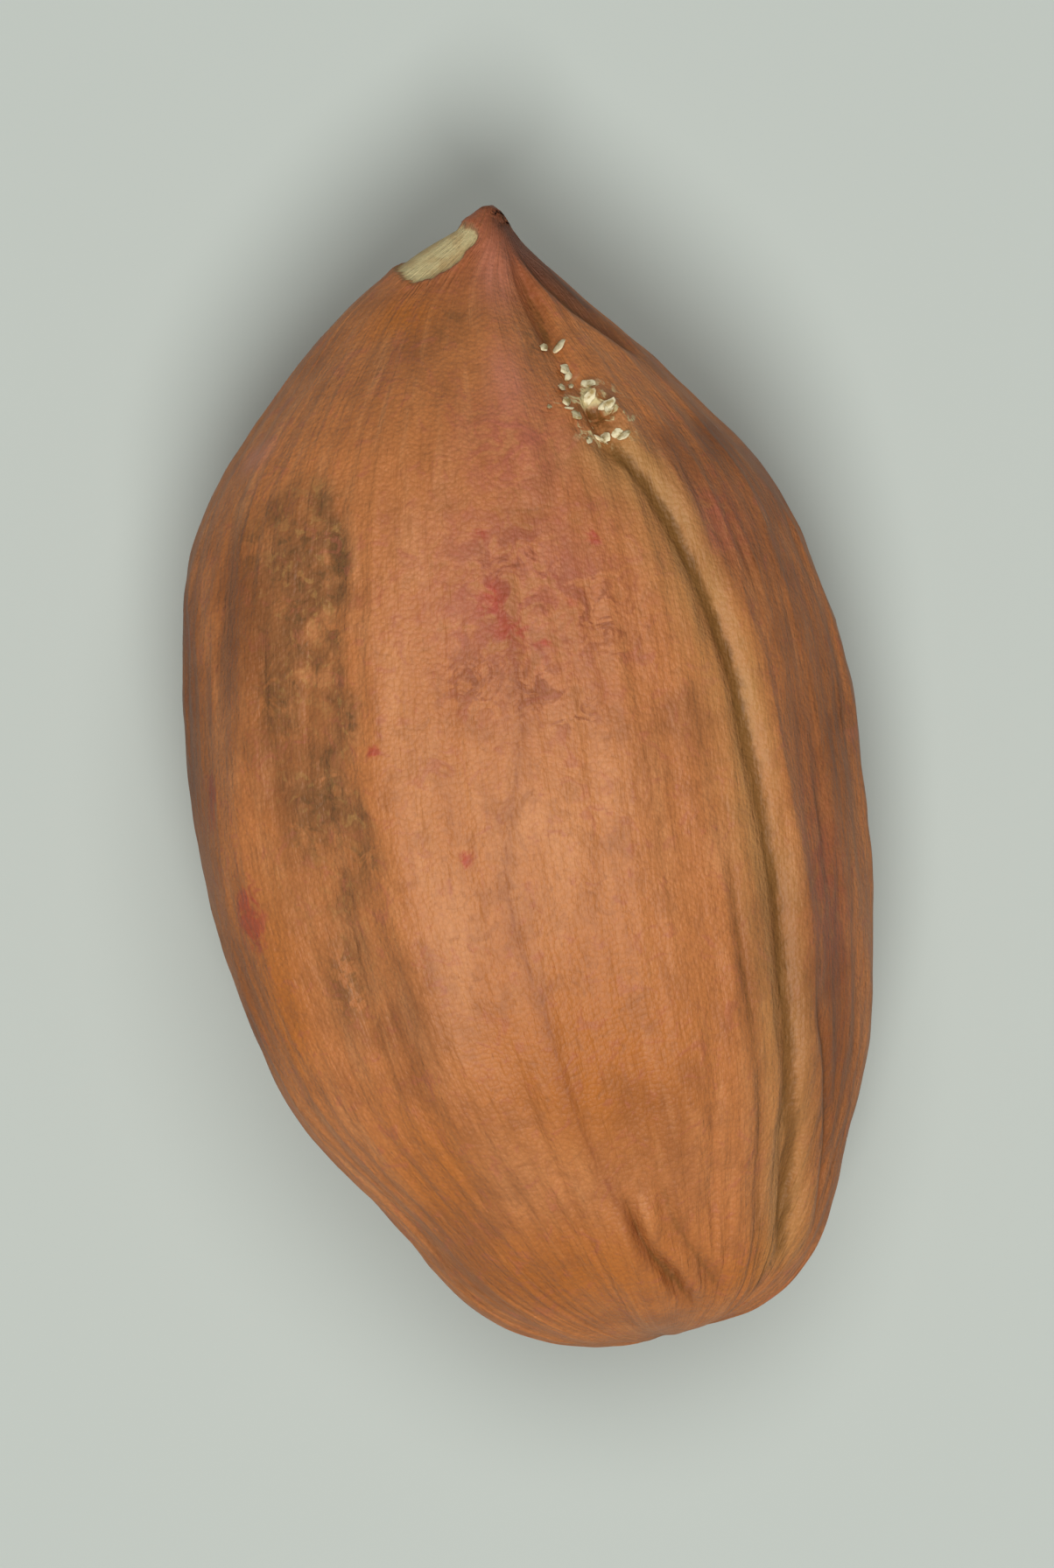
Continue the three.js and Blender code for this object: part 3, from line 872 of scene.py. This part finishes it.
def dryStalkPulp():
    # parenchyma torn and dried: matt cream with straw-brown hollows
    material = bpy.data.materials.new("dryStalkPulp")
    material.use_nodes = True
    tree = material.node_tree
    shader = tree.nodes["Principled BSDF"]
    place = addNode(tree, "ShaderNodeTexCoord").outputs["Object"]
    patchy = addNode(tree, "ShaderNodeTexNoise", {
        "Vector": place, "Scale": 1 / (shreds["patchSize"] * mm), "Detail": 3.0})
    tones = addNode(tree, "ShaderNodeValToRGB", {"Fac": patchy.outputs["Fac"]})
    stops = tones.color_ramp.elements
    for stop, position, tone in zip(stops, shreds["patchEdge"], (shreds["straw"], shreds["cream"])):
        stop.position = position
        stop.color = colour(tone)
    tree.links.new(tones.outputs["Color"], shader.inputs["Base Color"])
    shader.inputs["Roughness"].default_value = shreds["roughness"]
    shader.inputs["Specular IOR Level"].default_value = shreds["specular"]
    return material


def modelShreds():
    draw = random.Random(shreds["seed"])
    kinds = []
    for kind in range(shreds["kinds"]):
        bpy.ops.object.select_all(action="DESELECT")
        bpy.ops.mesh.primitive_ico_sphere_add(subdivisions=2, radius=0.5)
        shred = bpy.context.object
        bpy.ops.object.mode_set(mode="EDIT")
        bpy.ops.mesh.select_all(action="SELECT")
        bpy.ops.transform.vertex_random(offset=shreds["ragged"], seed=kind + 3)
        bpy.ops.transform.resize(value=(1.0, draw.uniform(*shreds["width"]), shreds["thickness"]))
        bpy.ops.object.mode_set(mode="OBJECT")
        kinds.append(shred)

    spots = []
    for x, y in shreds["clumps"]:
        for i in range(shreds["inClump"]):
            spotX = x + draw.gauss(0, shreds["scatter"])
            spotY = y + draw.gauss(0, shreds["scatter"])
            spots.append(dropOn(formCopy, spotX, spotY))

    copies = []
    for spot in spots:
        found, place, normal, face = kernelSkin.closest_point_on_mesh(Vector(spot) * mm)
        size = draw.uniform(*shreds["size"]) * mm
        shred = kinds[draw.randrange(len(kinds))].copy()
        shred.data = shred.data.copy()
        bpy.context.scene.collection.objects.link(shred)
        shred.scale = (size, size, size)
        shred.location = place + shreds["raised"] * size * normal
        lean = normal + shreds["tilt"] * Vector((draw.gauss(0, 1), draw.gauss(0, 1), draw.gauss(0, 1)))
        shred.rotation_mode = "QUATERNION"
        shred.rotation_quaternion = lean.to_track_quat("Z", draw.choice("XY"))
        copies.append(shred)
    for shred in kinds:
        bpy.data.objects.remove(shred)

    makeActive(copies[0])
    for shred in copies:
        shred.select_set(True)
    bpy.ops.object.join()
    stalkShreds = bpy.context.object
    stalkShreds.name = "scar_shreds"
    bpy.ops.object.transform_apply(location=True, rotation=True, scale=True)
    bpy.ops.object.shade_smooth_by_angle(angle=math.radians(shreds["sharpEdge"]))
    stalkShreds.data.materials.append(dryStalkPulp())
    return stalkShreds


stalkShreds = modelShreds()
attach(stalkShreds, "root")
bpy.data.objects.remove(formCopy)
print("shreds placed")


# Studio: a pale floor, soft light from above and a camera that looks straight down

studio = {
    "floor": "#BBC2BB",
    "floorSize": 1200,
    "floorRoughness": 0.8,
    "lights": {
        "key": {"place": (-12, -95, 260), "size": 110, "watts": 0.5},
        "overhead": {"place": (15, 55, 290), "size": 170, "watts": 0.36},
    },
    "surroundings": "#E6E3DC",
    "surroundingsStrength": 0.1,
    "frameHeight": 20.6,     # from the picture's top to its bottom, at the kernel
    "lens": 250,
    "roll": 6.6,             # degrees that the beak leans to the left
    "aim": (0.0, -0.05, 4.0),
}


def paleFloor():
    bpy.ops.object.select_all(action="DESELECT")
    bpy.ops.mesh.primitive_plane_add(size=studio["floorSize"] * mm, location=(0, 0, 0))
    floor = bpy.context.object
    floor.name = "floor"
    material = bpy.data.materials.new("paleBoard")
    material.use_nodes = True
    shader = material.node_tree.nodes["Principled BSDF"]
    shader.inputs["Base Color"].default_value = colour(studio["floor"])
    shader.inputs["Roughness"].default_value = studio["floorRoughness"]
    floor.data.materials.append(material)


def softLight(name, place, size, watts):
    lamp = bpy.data.lights.new(name, "AREA")
    lamp.shape = "DISK"
    lamp.size = size * mm
    lamp.energy = watts
    light = bpy.data.objects.new(name, lamp)
    bpy.context.scene.collection.objects.link(light)
    light.location = Vector(place) * mm
    light.rotation_euler = light.location.to_track_quat("Z", "Y").to_euler()


def dimSurroundings():
    world = bpy.data.worlds.new("studio")
    world.use_nodes = True
    background = world.node_tree.nodes["Background"]
    background.inputs["Color"].default_value = colour(studio["surroundings"])
    background.inputs["Strength"].default_value = studio["surroundingsStrength"]
    bpy.context.scene.world = world
    bpy.context.scene.view_settings.view_transform = "Standard"


def overheadCamera():
    data = bpy.data.cameras.new("camera")
    camera = bpy.data.objects.new("camera", data)
    bpy.context.scene.collection.objects.link(camera)
    data.lens = studio["lens"]
    distance = studio["frameHeight"] * studio["lens"] / data.sensor_width
    camera.location = (Vector(studio["aim"]) + Vector((0, 0, distance))) * mm
    camera.rotation_euler = (0, 0, math.radians(-studio["roll"]))
    data.clip_start = 0.001
    data.clip_end = 10
    bpy.context.scene.camera = camera


paleFloor()
for name, light in studio["lights"].items():
    softLight(name, **light)
dimSurroundings()
overheadCamera()
print("studio set")
